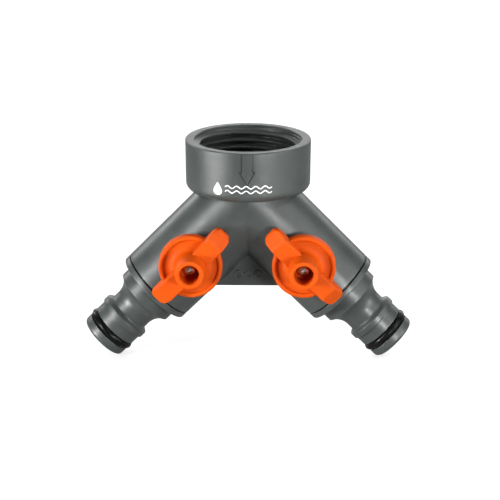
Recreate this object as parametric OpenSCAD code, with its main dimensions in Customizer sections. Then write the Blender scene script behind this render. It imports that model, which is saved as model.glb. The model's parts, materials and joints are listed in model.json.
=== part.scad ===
// Two-way tap splitter. A threaded inlet socket stands over two branches, and
// each branch holds a quarter-turn ball valve and ends in a push-on hose plug.
// The origin is the centre of the socket's mouth, and +Z points out of it. The
// valve knobs face -Y, and the left branch runs towards -X. Sizes are in mm.
// The valves are drawn open, with each knob's bar in line with its branch.

/* [Inlet socket] */
// Outer diameter of the collar at its mouth
collar_d = 39.6; // [38.5:0.1:48]
// Narrowing of the collar's diameter from mouth to underside
collar_draft = 0.5; // [0:0.1:1.5]
// Height of the collar, mouth to underside
collar_h = 16.2; // [15.5:0.1:24]
// Round between the collar's side and underside
collar_round = 2.5; // [0.5:0.1:4]
// Round on the outer edge of the mouth
rim_round = 0.5; // [0.2:0.1:1]
// Diameter of the plain entry above the thread
entry_d = 33.75; // [33.4:0.05:35]
// Depth of the plain entry
entry_depth = 2.5; // [1:0.1:4]
// Diameter of the threaded wall, the thread's root
thread_d = 33.3; // [33.2:0.05:33.7]
// Length of the threaded wall
thread_l = 9.6; // [8:0.1:10]
// Diameter of the water well under the washer
well_d = 18; // [12:0.5:20]

/* [Flow arrow] */
// Width of the arrow's shaft
arrow_shaft_w = 3.1; // [2:0.1:5]
// Width of the arrow's head
arrow_head_w = 4.4; // [3.5:0.1:8]
// Length of the shaft, from the mouth to the head
arrow_shaft_l = 6.1; // [4:0.1:8]
// Length of the head
arrow_head_l = 3.7; // [2:0.1:5]
// Height of the arrow above the collar's side
arrow_rise = 0.25; // [0.1:0.05:0.6]

/* [Branches] */
// Angle of each branch from straight down
branch_angle = 45; // [42:1:52]
// Drop from the collar's underside to the point where the branch axes meet
junction_drop = 3.2; // [2:0.1:6]
// Outer diameter of a branch at its mouth
branch_d = 25.72; // [24.5:0.1:32]
// Growth of the branch's diameter from mouth to junction
branch_draft = 0.88; // [0:0.02:1.5]
// Wall of a branch at its mouth
branch_wall = 3.86; // [3.2:0.05:4.8]
// Distance from the junction to the valve's axis, along the branch
valve_at = 25.1; // [23:0.1:31]
// Diameter of the water way through branch, seats, ball and plug
water_d = 9.5; // [7:0.1:10]
// Thickness of the web between the branches
web_t = 7; // [3:0.1:9]
// Height of the web, from the branches' inner corner to its flat foot
web_h = 9.2; // [5:0.1:12]

/* [Ball valve] */
// Length of a seat ring along the branch
seat_l = 3.4; // [2.8:0.1:4.2]
// Distance that a seat ring's back stands off the ball, measured on the axis
seat_back = 0.3; // [0.1:0.05:0.8]
// Thickness of the stem's blade in the ball's slot
blade_t = 3; // [2:0.1:4]
// Depth of the ball's slot
slot_depth = 2; // [1.5:0.1:2.3]
// Diameter of the stem's shoulder inside the branch
shoulder_d = 10; // [9:0.1:10.4]
// Thickness of the shoulder
shoulder_t = 1.2; // [0.8:0.1:1.6]
// Thickness of the thrust washer on the shoulder
thrust_t = 0.4; // [0.2:0.1:0.8]
// Diameter of the stem where it passes through the boss
stem_d = 7; // [6:0.1:7.6]
// Width across flats of the stem's square drive
square_w = 4.9; // [4:0.1:5]
// Length of the square drive
square_l = 3.6; // [3:0.1:5]
// Width of each O-ring groove in the stem
stem_groove_w = 1.5; // [1.2:0.05:1.6]
// Outer diameter of the boss on the branch
boss_d = 14; // [12:0.1:14.4]
// Height of the boss's end inside the knob
boss_lap = 1; // [0.6:0.1:1.2]

/* [Knob] */
// Diameter of the knob's disc
disc_d = 20; // [19.2:0.1:24]
// Height of the disc's rim
disc_h = 3.5; // [3.2:0.1:5]
// Width of the rounded rim
rim_w = 1.3; // [0.8:0.1:1.8]
// Depth of the dish inside the rim
dish_depth = 0.8; // [0.2:0.1:1]
// Full height of the knob, back to hub end
knob_h = 12.7; // [11.5:0.1:16]
// Diameter of the hub at its end
hub_end_d = 8.9; // [8.4:0.1:10]
// Diameter of the hub at the dish
hub_base_d = 10.4; // [9.6:0.1:12]
// Radius of the hollow fillet round the hub's base
hub_fillet = 2.2; // [1:0.1:2.4]
// Length of the bar, tip to tip
bar_l = 30.4; // [26:0.1:33]
// Width of the bar
bar_w = 6; // [5:0.1:8]
// Height of the bar above the knob's back
bar_h = 6.4; // [5:0.1:8]
// Height of the bar's tip above the knob's back
bar_tip_h = 2.6; // [1.5:0.1:4]
// Length of the slope at each end of the bar
bar_slope_l = 4; // [2:0.1:5]
// Round of the bar's corners, seen from the front
bar_round = 1.9; // [0.5:0.1:2.5]
// Space between the branch and the knob's back
knob_gap = 1.1; // [0.6:0.1:2]
// Diameter of the hole in the hub
hub_hole_d = 6.2; // [5:0.1:6.6]
// Turn of the knob between its stops, in degrees
knob_turn = 90; // [60:5:120]
// Width of the stop lug on the branch, in degrees
lug_sweep = 30; // [20:5:40]
// Outer diameter of the stop lug's arc
lug_d = 17.2; // [16.4:0.1:17.2]

/* [Knob screw] */
// Diameter of the screw's head
screw_head_d = 4; // [3.4:0.1:4.8]
// Height of the screw's head
screw_head_h = 1.8; // [1:0.1:2.4]
// Diameter of the screw's shank
screw_d = 2.2; // [1.8:0.1:2.4]
// Length of the screw under its head
screw_l = 6.2; // [4:0.1:7]
// Length of the cross recess, tip to tip
cross_l = 2.4; // [1.6:0.1:3]
// Depth of the cross recess
cross_depth = 0.9; // [0.5:0.1:1]
// Width of each wing of the cross recess
cross_w = 0.6; // [0.4:0.05:0.8]

/* [Hose plug] */
// Thickness of the plug's flange
flange_t = 2; // [1.5:0.1:3]
// Diameter of the shoulder behind the waist
plug_shoulder_d = 19.8; // [17:0.1:22]
// Length of the shoulder
plug_shoulder_l = 3.8; // [2:0.1:5]
// Length of the shoulder's last step, before the hollow
plug_step_l = 0.25; // [0.1:0.05:0.5]
// Diameter of the waist
waist_d = 13.76; // [12.6:0.1:14.6]
// Radius of the hollow that runs from the shoulder to the waist
waist_hollow = 5.9; // [4:0.1:7]
// Length of the straight waist
waist_l = 2.2; // [1:0.1:4]
// Length of the slope up to the locking collar
lock_slope = 1; // [0.5:0.1:2]
// Diameter of the locking collar
lock_d = 16.7; // [16.5:0.05:17]
// Length of the locking collar
lock_l = 1.9; // [1.4:0.1:2.6]
// Diameter of the tip
tip_d = 15.6; // [15.4:0.05:15.9]
// Length of the tip between the locking collar and the groove
tip_l = 3.5; // [2:0.1:5]
// Length of the tip beyond the groove
nose_l = 3; // [2:0.1:5]
// Round on the end of the tip
nose_round = 1.2; // [0.4:0.1:1.4]
// Length of the spigot that enters the branch
spigot_l = 6.3; // [4:0.05:10]

/* [Seals] */
// Thickness of the washer in the inlet socket
washer_t = 2.5; // [2:0.1:3]
// How much smaller the washer is than the threaded wall, across
washer_under = 0.9; // [0.5:0.1:1.5]
// Hole in the inlet washer
washer_hole_d = 21; // [18:0.5:24]
// Thickness of the gasket between branch and plug
gasket_t = 0.45; // [0.3:0.05:1]
// Depth of the gasket's edge behind the branch's side
gasket_inset = 0.35; // [0.1:0.05:1]
// Thickness of the O-ring's cord on the plug
plug_ring_cord = 2.4; // [2:0.1:2.6]
// Height of that O-ring above the tip
plug_ring_rise = 0.45; // [0.2:0.05:0.5]
// Thickness of the O-rings' cord on the stem
stem_ring_cord = 1.05; // [0.8:0.05:1.2]

/* [Clearances] */
// Radial running clearance of the stem in the boss
stem_play = 0.05; // [0.02:0.01:0.09]
// Radial clearance between an O-ring on the stem and the boss
ring_play = 0.03; // [0.02:0.01:0.05]
// Clearance between the ball and its seats
seat_play = 0.08; // [0.05:0.01:0.12]
// Radial growth of a seat's hole over the water way
seat_hole_play = 0.1; // [0.05:0.01:0.2]
// Clearance between the ball and the branch's bore
ball_play = 0.7; // [0.4:0.1:1.2]
// Radial clearance of the seats and the spigot in the branch's bore
bore_play = 0.05; // [0.02:0.01:0.1]
// Clearance between pieces of one valve, such as blade and slot
fit_play = 0.08; // [0.05:0.01:0.15]
// Clearance between the knob and the boss and lug
knob_play = 0.3; // [0.2:0.05:0.5]
// Clearance at each stop, in degrees
stop_play = 2; // [1:0.5:4]
// Radial clearance of the inlet washer in its pocket
washer_play = 0.1; // [0.05:0.05:0.3]

/* [Hidden] */
$fn = 96;

LEFT = -1;
RIGHT = 1;
over = 1;               // how far a cutting shape runs past the face it cuts
reach = 60;             // longer than anything that it cuts

body_colour = [0.42, 0.45, 0.44];
knob_colour = [0.94, 0.33, 0.08];
rubber_colour = [0.07, 0.07, 0.07];
seat_colour = [0.92, 0.92, 0.9];
steel_colour = [0.75, 0.75, 0.74];
brass_colour = [0.72, 0.6, 0.36];
ball_colour = [0.86, 0.86, 0.83];

// Socket, from its mouth down
washer_d = thread_d - washer_under;
washer_top = entry_depth + thread_l;
washer_bottom = washer_top + washer_t;

// Branch, measured from the junction along its axis
junction_z = -(collar_h + junction_drop);
mouth_r = branch_d / 2;
root_r = mouth_r + branch_draft / 2;
chamber_r = mouth_r - branch_wall;
ball_r = chamber_r - ball_play;
seat_end = ball_r + seat_back;
chamber_at = valve_at - seat_end;
mouth_at = valve_at + seat_end + spigot_l;
seam_at = mouth_at + gasket_t / 2;
root_l = junction_drop / cos(branch_angle);

// Web between the branches
web_bite = 1;           // how far the web runs into a branch's wall
inner_corner_z = junction_z - root_r / sin(branch_angle);
web_foot_z = inner_corner_z - web_h;
web_peak_z = junction_z - (mouth_r - web_bite) / sin(branch_angle);
web_half = (web_peak_z - web_foot_z) * tan(branch_angle);

// Valve, measured from the branch's axis out to the knob
shoulder_from = chamber_r;
shoulder_to = shoulder_from + shoulder_t;
thrust_to = shoulder_to + thrust_t;
knob_back = root_r + knob_gap;
boss_end = knob_back + boss_lap;
square_end = boss_end + square_l;
knob_front = knob_back + knob_h;
hub_floor = 1.1;        // wall of the knob between the square and the screw head
head_seat = square_end + fit_play + hub_floor;
dish_z = knob_back + disc_h - dish_depth;
boss_bore_r = stem_d / 2 + stem_play;
stem_land = (boss_end - thrust_to - 2 * stem_groove_w) / 3;
stem_ring_r = boss_bore_r - ring_play - stem_ring_cord / 2;
stem_groove_r = stem_ring_r - stem_ring_cord / 2;
stem_ring_z = [thrust_to + stem_land + stem_groove_w / 2,
               boss_end - stem_land - stem_groove_w / 2];
recess_r = boss_d / 2 + knob_play;
recess_end = boss_end + knob_play;
boss_root = 1.2;        // wall between the chamber and the boss's buried foot
boss_foot = chamber_r + boss_root;
lug_start = 75;

// Hose plug, measured from the seam out to the tip
flange_end = gasket_t / 2 + flange_t;
plug_shoulder_end = flange_end + plug_shoulder_l;
waist_r = waist_d / 2;
hollow_drop = waist_r + waist_hollow - plug_shoulder_d / 2;
hollow_l = sqrt(pow(waist_hollow, 2) - pow(hollow_drop, 2));
hollow_from = plug_shoulder_end + plug_step_l;
waist_from = hollow_from + hollow_l;
waist_to = waist_from + waist_l;
lock_from = waist_to + lock_slope;
lock_to = lock_from + lock_l;
lock_chamfer = 0.25;
tip_r = tip_d / 2;
groove_from = lock_to + tip_l;
groove_w = plug_ring_cord + 0.3;
groove_to = groove_from + groove_w;
groove_r = tip_r + plug_ring_rise - plug_ring_cord;
nose_end = groove_to + nose_l;

// ---- Places and plain shapes --------------------------------------------

// Puts a child's +Z along a branch, with its origin at the junction.
module on_branch(side) {
    translate([0, 0, junction_z])
        rotate([0, 180 - side * branch_angle, 0]) children();
}

// Puts a child's +Z along a valve's axis towards the front, with its origin on
// the branch's axis and its +X in line with the branch.
module on_valve(side) {
    translate([side * valve_at * sin(branch_angle), 0,
               junction_z - valve_at * cos(branch_angle)])
        rotate([90, 0, 0])
            rotate([0, 0, -side * (90 - branch_angle)]) children();
}

module cylinder_between(r, from, to) {
    translate([0, 0, from]) cylinder(r = r, h = to - from);
}

// Ring with a round section.
module o_ring(mid_r, cord) {
    rotate_extrude() translate([mid_r, 0]) circle(d = cord, $fn = 32);
}

// Ring with a square section, from z = from to z = to.
module ring(inner_r, outer_r, from, to) {
    translate([0, 0, from]) difference() {
        cylinder(r = outer_r, h = to - from);
        translate([0, 0, -over]) cylinder(r = inner_r, h = to - from + 2 * over);
    }
}

// Wedge about the Z axis, from one angle through a sweep of less than 180.
module wedge(start, sweep, from, to) {
    translate([0, 0, from]) linear_extrude(to - from)
        polygon([[0, 0], for (k = [0 : 4])
            reach * [cos(start + sweep * k / 4), sin(start + sweep * k / 4)]]);
}

// ---- Body ---------------------------------------------------------------

// Outside of the collar, grown by extra all round its side.
module collar_shape(extra = 0) {
    top_r = collar_d / 2 + extra;
    foot_r = top_r - collar_draft / 2;
    rotate_extrude() union() {
        polygon([[0, 0], [top_r - rim_round, 0], [top_r - rim_round, -rim_round],
                 [top_r, -rim_round], [foot_r, collar_round - collar_h],
                 [foot_r - collar_round, collar_round - collar_h],
                 [foot_r - collar_round, -collar_h], [0, -collar_h]]);
        translate([top_r - rim_round, -rim_round]) circle(r = rim_round);
        translate([foot_r - collar_round, collar_round - collar_h])
            circle(r = collar_round);
    }
}

// Raised arrow that points down the collar, the way the water flows.
module flow_arrow() {
    head_z = -arrow_shaft_l;
    intersection() {
        rotate([90, 0, 0]) linear_extrude(reach)
            polygon([[-arrow_shaft_w / 2, -rim_round],
                     [-arrow_shaft_w / 2, head_z], [-arrow_head_w / 2, head_z],
                     [0, head_z - arrow_head_l],
                     [arrow_head_w / 2, head_z], [arrow_shaft_w / 2, head_z],
                     [arrow_shaft_w / 2, -rim_round]]);
        collar_shape(arrow_rise);
    }
}

// Outside of one branch, from inside the collar down to its mouth.
module branch_shape(side) {
    on_branch(side) translate([0, 0, -root_l])
        cylinder(r1 = root_r, r2 = mouth_r, h = root_l + mouth_at);
}

// Plate between the branches, with a flat foot.
module web_shape() {
    rotate([90, 0, 0]) translate([0, 0, -web_t / 2]) linear_extrude(web_t)
        polygon([[0, web_peak_z], [-web_half, web_foot_z], [web_half, web_foot_z]]);
}

// Boss that carries the stem, with the lug that stops the knob.
module boss_shape(side) {
    on_valve(side) {
        translate([0, 0, boss_foot]) cylinder(d = boss_d, h = boss_end - boss_foot);
        intersection() {
            ring(boss_d / 2 - over, lug_d / 2, boss_foot, boss_end);
            wedge(lug_start, lug_sweep, boss_foot - over, boss_end + over);
        }
    }
}

module socket_bore() {
    translate([0, 0, -entry_depth]) cylinder(d = entry_d, h = entry_depth + over);
    translate([0, 0, -washer_top]) cylinder(d = thread_d, h = thread_l + over);
    translate([0, 0, -washer_bottom])
        cylinder(d = washer_d + 2 * washer_play, h = washer_t + over);
    translate([0, 0, junction_z]) cylinder(d = well_d, h = -junction_z - washer_top);
}

module branch_bore(side) {
    on_branch(side) {
        cylinder(d = water_d, h = chamber_at + over);
        translate([0, 0, chamber_at])
            cylinder(r = chamber_r, h = mouth_at - chamber_at + over);
    }
    on_valve(side) {
        cylinder(d = shoulder_d + 2 * knob_play, h = thrust_to);
        cylinder(r = boss_bore_r, h = boss_end + over);
    }
}

module body() {
    color(body_colour) difference() {
        union() {
            collar_shape();
            flow_arrow();
            web_shape();
            for (side = [LEFT, RIGHT]) {
                branch_shape(side);
                boss_shape(side);
            }
        }
        socket_bore();
        for (side = [LEFT, RIGHT]) branch_bore(side);
    }
}

// ---- Seals --------------------------------------------------------------

module inlet_washer() {
    color(rubber_colour)
        ring(washer_hole_d / 2, washer_d / 2, -washer_bottom, -washer_top);
}

module joint_gasket(side) {
    color(rubber_colour) on_branch(side)
        ring(chamber_r, mouth_r - gasket_inset, mouth_at, mouth_at + gasket_t);
}

module nipple_oring(side) {
    color(rubber_colour) on_branch(side)
        translate([0, 0, seam_at + (groove_from + groove_to) / 2])
            o_ring(groove_r + plug_ring_cord / 2, plug_ring_cord);
}

module stem_oring(side, place) {
    color(rubber_colour) on_valve(side)
        translate([0, 0, stem_ring_z[place]]) o_ring(stem_ring_r, stem_ring_cord);
}

// ---- Hose plug ----------------------------------------------------------

module nipple_outline() {
    flange_round = 0.4;
    difference() {
        union() {
            translate([0, -spigot_l - gasket_t / 2])
                square([chamber_r - bore_play, spigot_l + gasket_t]);
            translate([0, gasket_t / 2]) square([mouth_r, flange_t - flange_round]);
            translate([0, gasket_t / 2])
                square([mouth_r - flange_round, flange_t]);
            translate([mouth_r - flange_round, flange_end - flange_round])
                circle(r = flange_round);
            translate([0, gasket_t / 2])
                square([plug_shoulder_d / 2, waist_from - gasket_t / 2]);
            square([waist_r, lock_to]);
            polygon([[0, waist_to], [waist_r, waist_to], [lock_d / 2, lock_from],
                     [lock_d / 2, lock_to - lock_chamfer],
                     [lock_d / 2 - lock_chamfer, lock_to], [0, lock_to]]);
            square([tip_r, groove_from]);
            square([groove_r, groove_to]);
            translate([0, groove_to]) square([tip_r, nose_l - nose_round]);
            translate([0, groove_to]) square([tip_r - nose_round, nose_l]);
            translate([tip_r - nose_round, nose_end - nose_round])
                circle(r = nose_round);
        }
        waist_cut();
    }
}

// Hollow between the shoulder and the locking collar.
module waist_cut() {
    intersection() {
        translate([waist_r + waist_hollow, waist_from]) circle(r = waist_hollow);
        translate([waist_r, hollow_from]) square([reach, waist_from - hollow_from]);
    }
    polygon([[waist_r, waist_from], [reach, waist_from], [reach, lock_from],
             [lock_d / 2, lock_from], [waist_r, waist_to]]);
}

module nipple(side) {
    color(body_colour) on_branch(side) translate([0, 0, seam_at])
        rotate_extrude() difference() {
            nipple_outline();
            translate([-over, -reach]) square([water_d / 2 + over, 2 * reach]);
        }
}

// ---- Ball valve ---------------------------------------------------------

// Seat ring around the branch's axis, hollowed to fit the ball. Facing is -1
// for the seat towards the socket and 1 for the seat towards the mouth.
module seat(side, facing) {
    seat_hole_r = water_d / 2 + seat_hole_play;
    color(seat_colour) on_branch(side) translate([0, 0, valve_at])
        rotate_extrude() difference() {
            translate([seat_hole_r, facing > 0 ? seat_end - seat_l : -seat_end])
                square([chamber_r - bore_play - seat_hole_r, seat_l]);
            circle(r = ball_r + seat_play);
        }
}

module ball(side) {
    slot_z = ball_r - slot_depth;
    slot_w = blade_t + 2 * fit_play;
    color(ball_colour) on_valve(side) difference() {
        sphere(r = ball_r);
        rotate([0, 90, 0]) cylinder(d = water_d, h = reach, center = true);
        translate([-slot_w / 2, -reach / 2, slot_z]) cube([slot_w, reach, reach]);
    }
}

module stem(side) {
    blade_l = 7;
    blade_from = ball_r - slot_depth + fit_play;
    shank_r = stem_d / 2;
    color(brass_colour) on_valve(side) difference() {
        union() {
            translate([-blade_t / 2, -blade_l / 2, blade_from])
                cube([blade_t, blade_l, shoulder_to - blade_from]);
            translate([0, 0, shoulder_from])
                cylinder(d = shoulder_d, h = shoulder_t);
            cylinder_between(shank_r, shoulder_from, boss_end);
            translate([-square_w / 2, -square_w / 2, shoulder_to])
                cube([square_w, square_w, square_end - shoulder_to]);
        }
        for (z = stem_ring_z)
            ring(stem_groove_r, shank_r + over,
                 z - stem_groove_w / 2, z + stem_groove_w / 2);
        cylinder_between(screw_d / 2, head_seat - screw_l - fit_play,
                         square_end + over);
    }
}

module thrust_washer(side) {
    color(seat_colour) on_valve(side)
        ring(stem_d / 2 + fit_play, shoulder_d / 2, shoulder_to, thrust_to);
}

// ---- Knob ---------------------------------------------------------------

module disc_shape() {
    rim_z = disc_h - rim_w / 2;
    rotate_extrude() {
        square([disc_d / 2 - rim_w / 2, disc_h - dish_depth]);
        square([disc_d / 2, rim_z]);
        translate([disc_d / 2 - rim_w / 2, rim_z]) circle(d = rim_w);
    }
}

// Outline of the bar, seen from the front.
module bar_outline() {
    square([bar_l, bar_w - 2 * bar_round], center = true);
    square([bar_l - 2 * bar_round, bar_w], center = true);
    for (x = [-1, 1], y = [-1, 1])
        translate([x * (bar_l / 2 - bar_round), y * (bar_w / 2 - bar_round)])
            circle(r = bar_round);
}

// Bar with a flat front that slopes down to each tip.
module bar_shape() {
    intersection() {
        linear_extrude(bar_h) bar_outline();
        rotate([90, 0, 0]) linear_extrude(2 * bar_w, center = true)
            polygon([[-bar_l / 2, 0], [-bar_l / 2, bar_tip_h],
                     [bar_slope_l - bar_l / 2, bar_h],
                     [bar_l / 2 - bar_slope_l, bar_h],
                     [bar_l / 2, bar_tip_h], [bar_l / 2, 0]]);
    }
}

// Hollow fillet that stands on the plane z = 0 around the hub.
module hub_foot() {
    foot_r = hub_base_d / 2;
    rotate_extrude() difference() {
        square([foot_r + hub_fillet, hub_fillet]);
        translate([foot_r + hub_fillet, hub_fillet]) circle(r = hub_fillet);
    }
}

module hub_shape() {
    dish_h = disc_h - dish_depth;
    end_round = 0.4;
    translate([0, 0, dish_h]) {
        cylinder(d1 = hub_base_d, d2 = hub_end_d, h = knob_h - dish_h - end_round);
        hub_foot();
    }
    translate([0, 0, knob_h - end_round]) cylinder(d1 = hub_end_d,
        d2 = hub_end_d - 2 * end_round, h = end_round);
    intersection() {
        translate([0, 0, bar_h]) hub_foot();
        linear_extrude(knob_h) bar_outline();
    }
}

module knob_cuts() {
    slot_w = square_w + 2 * fit_play;
    cylinder_between(recess_r, knob_back - over, recess_end);
    intersection() {
        ring(recess_r - over, lug_d / 2 + knob_play, knob_back - over, recess_end);
        wedge(lug_start - stop_play, lug_sweep + knob_turn + 2 * stop_play,
              knob_back - 2 * over, recess_end + over);
    }
    translate([-slot_w / 2, -slot_w / 2, knob_back - over])
        cube([slot_w, slot_w, square_end + fit_play - knob_back + over]);
    cylinder_between(screw_d / 2 + fit_play, knob_back, knob_front);
    cylinder_between(hub_hole_d / 2, head_seat, knob_front + over);
}

module knob(side) {
    color(knob_colour) on_valve(side) difference() {
        translate([0, 0, knob_back]) {
            disc_shape();
            bar_shape();
            hub_shape();
        }
        knob_cuts();
    }
}

module knob_screw(side) {
    head_r = screw_head_d / 2;
    dome_r = (pow(head_r, 2) + pow(screw_head_h, 2)) / (2 * screw_head_h);
    shank_lap = 0.5;    // how far the shank runs into the head
    color(steel_colour) on_valve(side) difference() {
        union() {
            cylinder_between(screw_d / 2, head_seat - screw_l, head_seat + shank_lap);
            intersection() {
                cylinder_between(head_r, head_seat, head_seat + screw_head_h);
                translate([0, 0, head_seat + screw_head_h - dome_r])
                    sphere(r = dome_r);
            }
        }
        for (turn = [0, 90]) rotate([0, 0, turn])
            translate([-cross_l / 2, -cross_w / 2,
                       head_seat + screw_head_h - cross_depth])
                cube([cross_l, cross_w, over]);
    }
}

// ---- Nodes --------------------------------------------------------------

body();
inlet_washer();

nipple(LEFT);  // left_nipple
nipple_oring(LEFT);  // left_nipple_oring
joint_gasket(LEFT);  // left_joint_gasket
seat(LEFT, -1);  // left_inlet_seat
seat(LEFT, 1);  // left_outlet_seat
ball(LEFT);  // left_ball
stem(LEFT);  // left_stem
thrust_washer(LEFT);  // left_thrust_washer
stem_oring(LEFT, 0);  // left_stem_oring_inner
stem_oring(LEFT, 1);  // left_stem_oring_outer
knob(LEFT);  // left_knob
knob_screw(LEFT);  // left_knob_screw

nipple(RIGHT);  // right_nipple
nipple_oring(RIGHT);  // right_nipple_oring
joint_gasket(RIGHT);  // right_joint_gasket
seat(RIGHT, -1);  // right_inlet_seat
seat(RIGHT, 1);  // right_outlet_seat
ball(RIGHT);  // right_ball
stem(RIGHT);  // right_stem
thrust_washer(RIGHT);  // right_thrust_washer
stem_oring(RIGHT, 0);  // right_stem_oring_inner
stem_oring(RIGHT, 1);  // right_stem_oring_outer
knob(RIGHT);  // right_knob
knob_screw(RIGHT);  // right_knob_screw
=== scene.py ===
# %% [markdown]
# # A garden tap splitter
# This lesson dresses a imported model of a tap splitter: a threaded socket over two
# branches, a quarter-turn valve with an orange knob in each branch, and a push-on
# hose plug at each end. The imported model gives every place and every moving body.
# Each visible piece is worked out again here as a fine surface, with the small
# rounds, the thread and the moulded marks that the plain model leaves out.

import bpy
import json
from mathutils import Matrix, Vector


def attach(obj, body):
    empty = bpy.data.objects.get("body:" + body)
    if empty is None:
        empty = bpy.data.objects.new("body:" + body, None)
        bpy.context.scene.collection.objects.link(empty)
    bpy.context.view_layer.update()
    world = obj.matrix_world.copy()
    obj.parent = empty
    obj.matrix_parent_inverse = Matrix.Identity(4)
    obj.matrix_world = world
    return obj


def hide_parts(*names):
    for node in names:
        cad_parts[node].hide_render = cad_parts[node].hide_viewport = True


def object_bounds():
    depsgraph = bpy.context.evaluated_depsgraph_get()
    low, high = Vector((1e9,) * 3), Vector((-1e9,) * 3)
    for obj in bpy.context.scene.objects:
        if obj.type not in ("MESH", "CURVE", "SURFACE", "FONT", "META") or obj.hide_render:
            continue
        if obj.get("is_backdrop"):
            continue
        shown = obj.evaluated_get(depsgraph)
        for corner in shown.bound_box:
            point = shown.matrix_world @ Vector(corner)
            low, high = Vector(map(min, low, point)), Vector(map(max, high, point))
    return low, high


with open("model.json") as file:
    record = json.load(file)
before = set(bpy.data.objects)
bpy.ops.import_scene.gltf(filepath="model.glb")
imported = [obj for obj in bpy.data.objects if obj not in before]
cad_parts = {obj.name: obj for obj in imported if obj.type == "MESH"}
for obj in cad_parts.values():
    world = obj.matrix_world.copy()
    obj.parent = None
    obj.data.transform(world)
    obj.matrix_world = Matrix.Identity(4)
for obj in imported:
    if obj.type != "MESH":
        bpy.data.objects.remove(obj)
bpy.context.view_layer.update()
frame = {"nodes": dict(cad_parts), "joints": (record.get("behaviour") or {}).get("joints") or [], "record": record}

# %% [markdown]
# ## Tools for surfaces
# Blender can make shapes by hand with its modelling tools, or a script can work
# them out as numbers. Every piece of a fitting like this was turned, moulded or
# cast, so each surface is a simple rule of two numbers: how far along a profile,
# and how far round or along a path. NumPy works out all the points at once, and
# the mesh takes them in one call, which is fast and exact. A size in capitals is
# in millimetres, and only the finished mesh is in metres.

# %% Imports
import json
import math

import bmesh
import bpy
import numpy as np
from mathutils import Vector

MM = 0.001
TURN = 2 * math.pi
SIDES = {"left": -1, "right": 1}

# %% [markdown]
# ### Profiles
# A moulded edge is never sharp. A profile is given by its corners only, each with
# the radius of its round, and `soften` puts the arcs in. `fill_in` then adds
# points along the straight stretches, so that the faces stay nearly square.

# %% Profiles with round corners
def soften(corners, arc_step=15, closed=False):
    """Points along straight lines through the corners (x, y, radius). Each corner
    with a radius becomes the arc that touches both of its lines: the arc's centre
    lies on the line that halves the corner, radius / sin(half the angle) away."""
    corners = [np.array(c, float) for c in corners]
    count = len(corners)
    points = []
    for i, corner in enumerate(corners):
        here, radius = corner[:2], corner[2]
        ends = not closed and i in (0, count - 1)
        if ends or radius == 0:
            points.append(here[None])
            continue
        back = corners[i - 1][:2] - here
        on = corners[(i + 1) % count][:2] - here
        back, on = back / np.linalg.norm(back), on / np.linalg.norm(on)
        half = math.acos(np.clip(back @ on, -1, 1)) / 2
        middle = (back + on) / np.linalg.norm(back + on)
        centre = here + middle * radius / math.sin(half)
        start = here + back * radius / math.tan(half) - centre
        end = here + on * radius / math.tan(half) - centre
        sweep = math.pi - 2 * half
        steps = max(2, math.ceil(math.degrees(sweep) / arc_step))
        t = np.linspace(0, 1, steps + 1)[:, None]
        arc = (np.sin((1 - t) * sweep) * start + np.sin(t * sweep) * end) / math.sin(sweep)
        points.append(centre + arc)
    return np.vstack(points)


def fill_in(points, step, closed=False):
    """The same line with extra points, evenly spaced on every stretch that is
    longer than the step: each stretch is cut into its length over the step."""
    ends = np.roll(points, -1, axis=0) if closed else points[1:]
    starts = points if closed else points[:-1]
    runs = []
    for start, end in zip(starts, ends):
        count = max(1, math.ceil(np.linalg.norm(end - start) / step))
        runs.append(start + (end - start) * (np.arange(count) / count)[:, None])
    if not closed:
        runs.append(points[-1:])
    return np.vstack(runs)


# %% [markdown]
# ### From points to a mesh
# A grid of points becomes a mesh by joining each point with its neighbours along
# the rows and the columns. A closed ring joins its last column to its first.
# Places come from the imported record: the joints give the valves' axes and the
# mounts give the plugs' axes, so a piece needs only its own shape.

# %% Grids into meshes
def grid_faces(rows, columns, join_rows, join_columns):
    """Four corner numbers for each cell of a grid of points, row after row."""
    r = np.arange(rows if join_rows else rows - 1)[:, None]
    c = np.arange(columns if join_columns else columns - 1)[None, :]
    below, beside = (r + 1) % rows, (c + 1) % columns
    corners = [r * columns + c, r * columns + beside, below * columns + beside,
               below * columns + c]
    return np.stack(corners, axis=-1).reshape(-1, 4)


def mesh_of(name, grid, join_rows=False, join_columns=True, caps=(), place=None):
    """A closed object from a grid of points in millimetres. Caps names the rows
    that are closed with one flat face, and place is (origin, x, y, z) in metres."""
    rows, columns, _ = grid.shape
    points = grid.reshape(-1, 3) * MM
    if place is not None:
        origin, *axes = place
        points = origin + points @ np.array(axes)
    faces = grid_faces(rows, columns, join_rows, join_columns).tolist()
    faces += [(np.arange(columns) + row % rows * columns).tolist() for row in caps]
    mesh = bpy.data.meshes.new(name)
    mesh.from_pydata(points, [], faces)
    work = bmesh.new()
    work.from_mesh(mesh)
    bmesh.ops.remove_doubles(work, verts=work.verts, dist=1e-7)
    bmesh.ops.recalc_face_normals(work, faces=work.faces)
    work.to_mesh(mesh)
    work.free()
    piece = bpy.data.objects.new(name, mesh)
    bpy.context.scene.collection.objects.link(piece)
    return piece


def revolve(profile, columns):
    """Grid of a profile of (radius, height) points carried round the z axis:
    x = radius cos(turn), y = radius sin(turn), z = height."""
    turn = np.arange(columns) * TURN / columns
    radius, height = profile[:, :1], profile[:, 1:]
    return np.stack([radius * np.cos(turn), radius * np.sin(turn),
                     height + 0 * turn], axis=-1)


def turned(name, profile, step, columns, place=None, closed=False):
    """Solid of revolution whose profile is first filled in to the step. A closed
    profile gives a ring."""
    grid = revolve(fill_in(profile, step, closed), columns)
    return mesh_of(name, grid, join_rows=closed, place=place)


def swept(name, section, degrees, place):
    """Section of (radius, height) points carried through part of a turn, and
    closed at both ends."""
    turn = np.radians(degrees)[:, None]
    grid = np.stack([section[:, 0] * np.cos(turn), section[:, 0] * np.sin(turn),
                     section[:, 1] + 0 * turn], axis=-1)
    return mesh_of(name, grid, caps=(0, -1), place=place)


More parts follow.
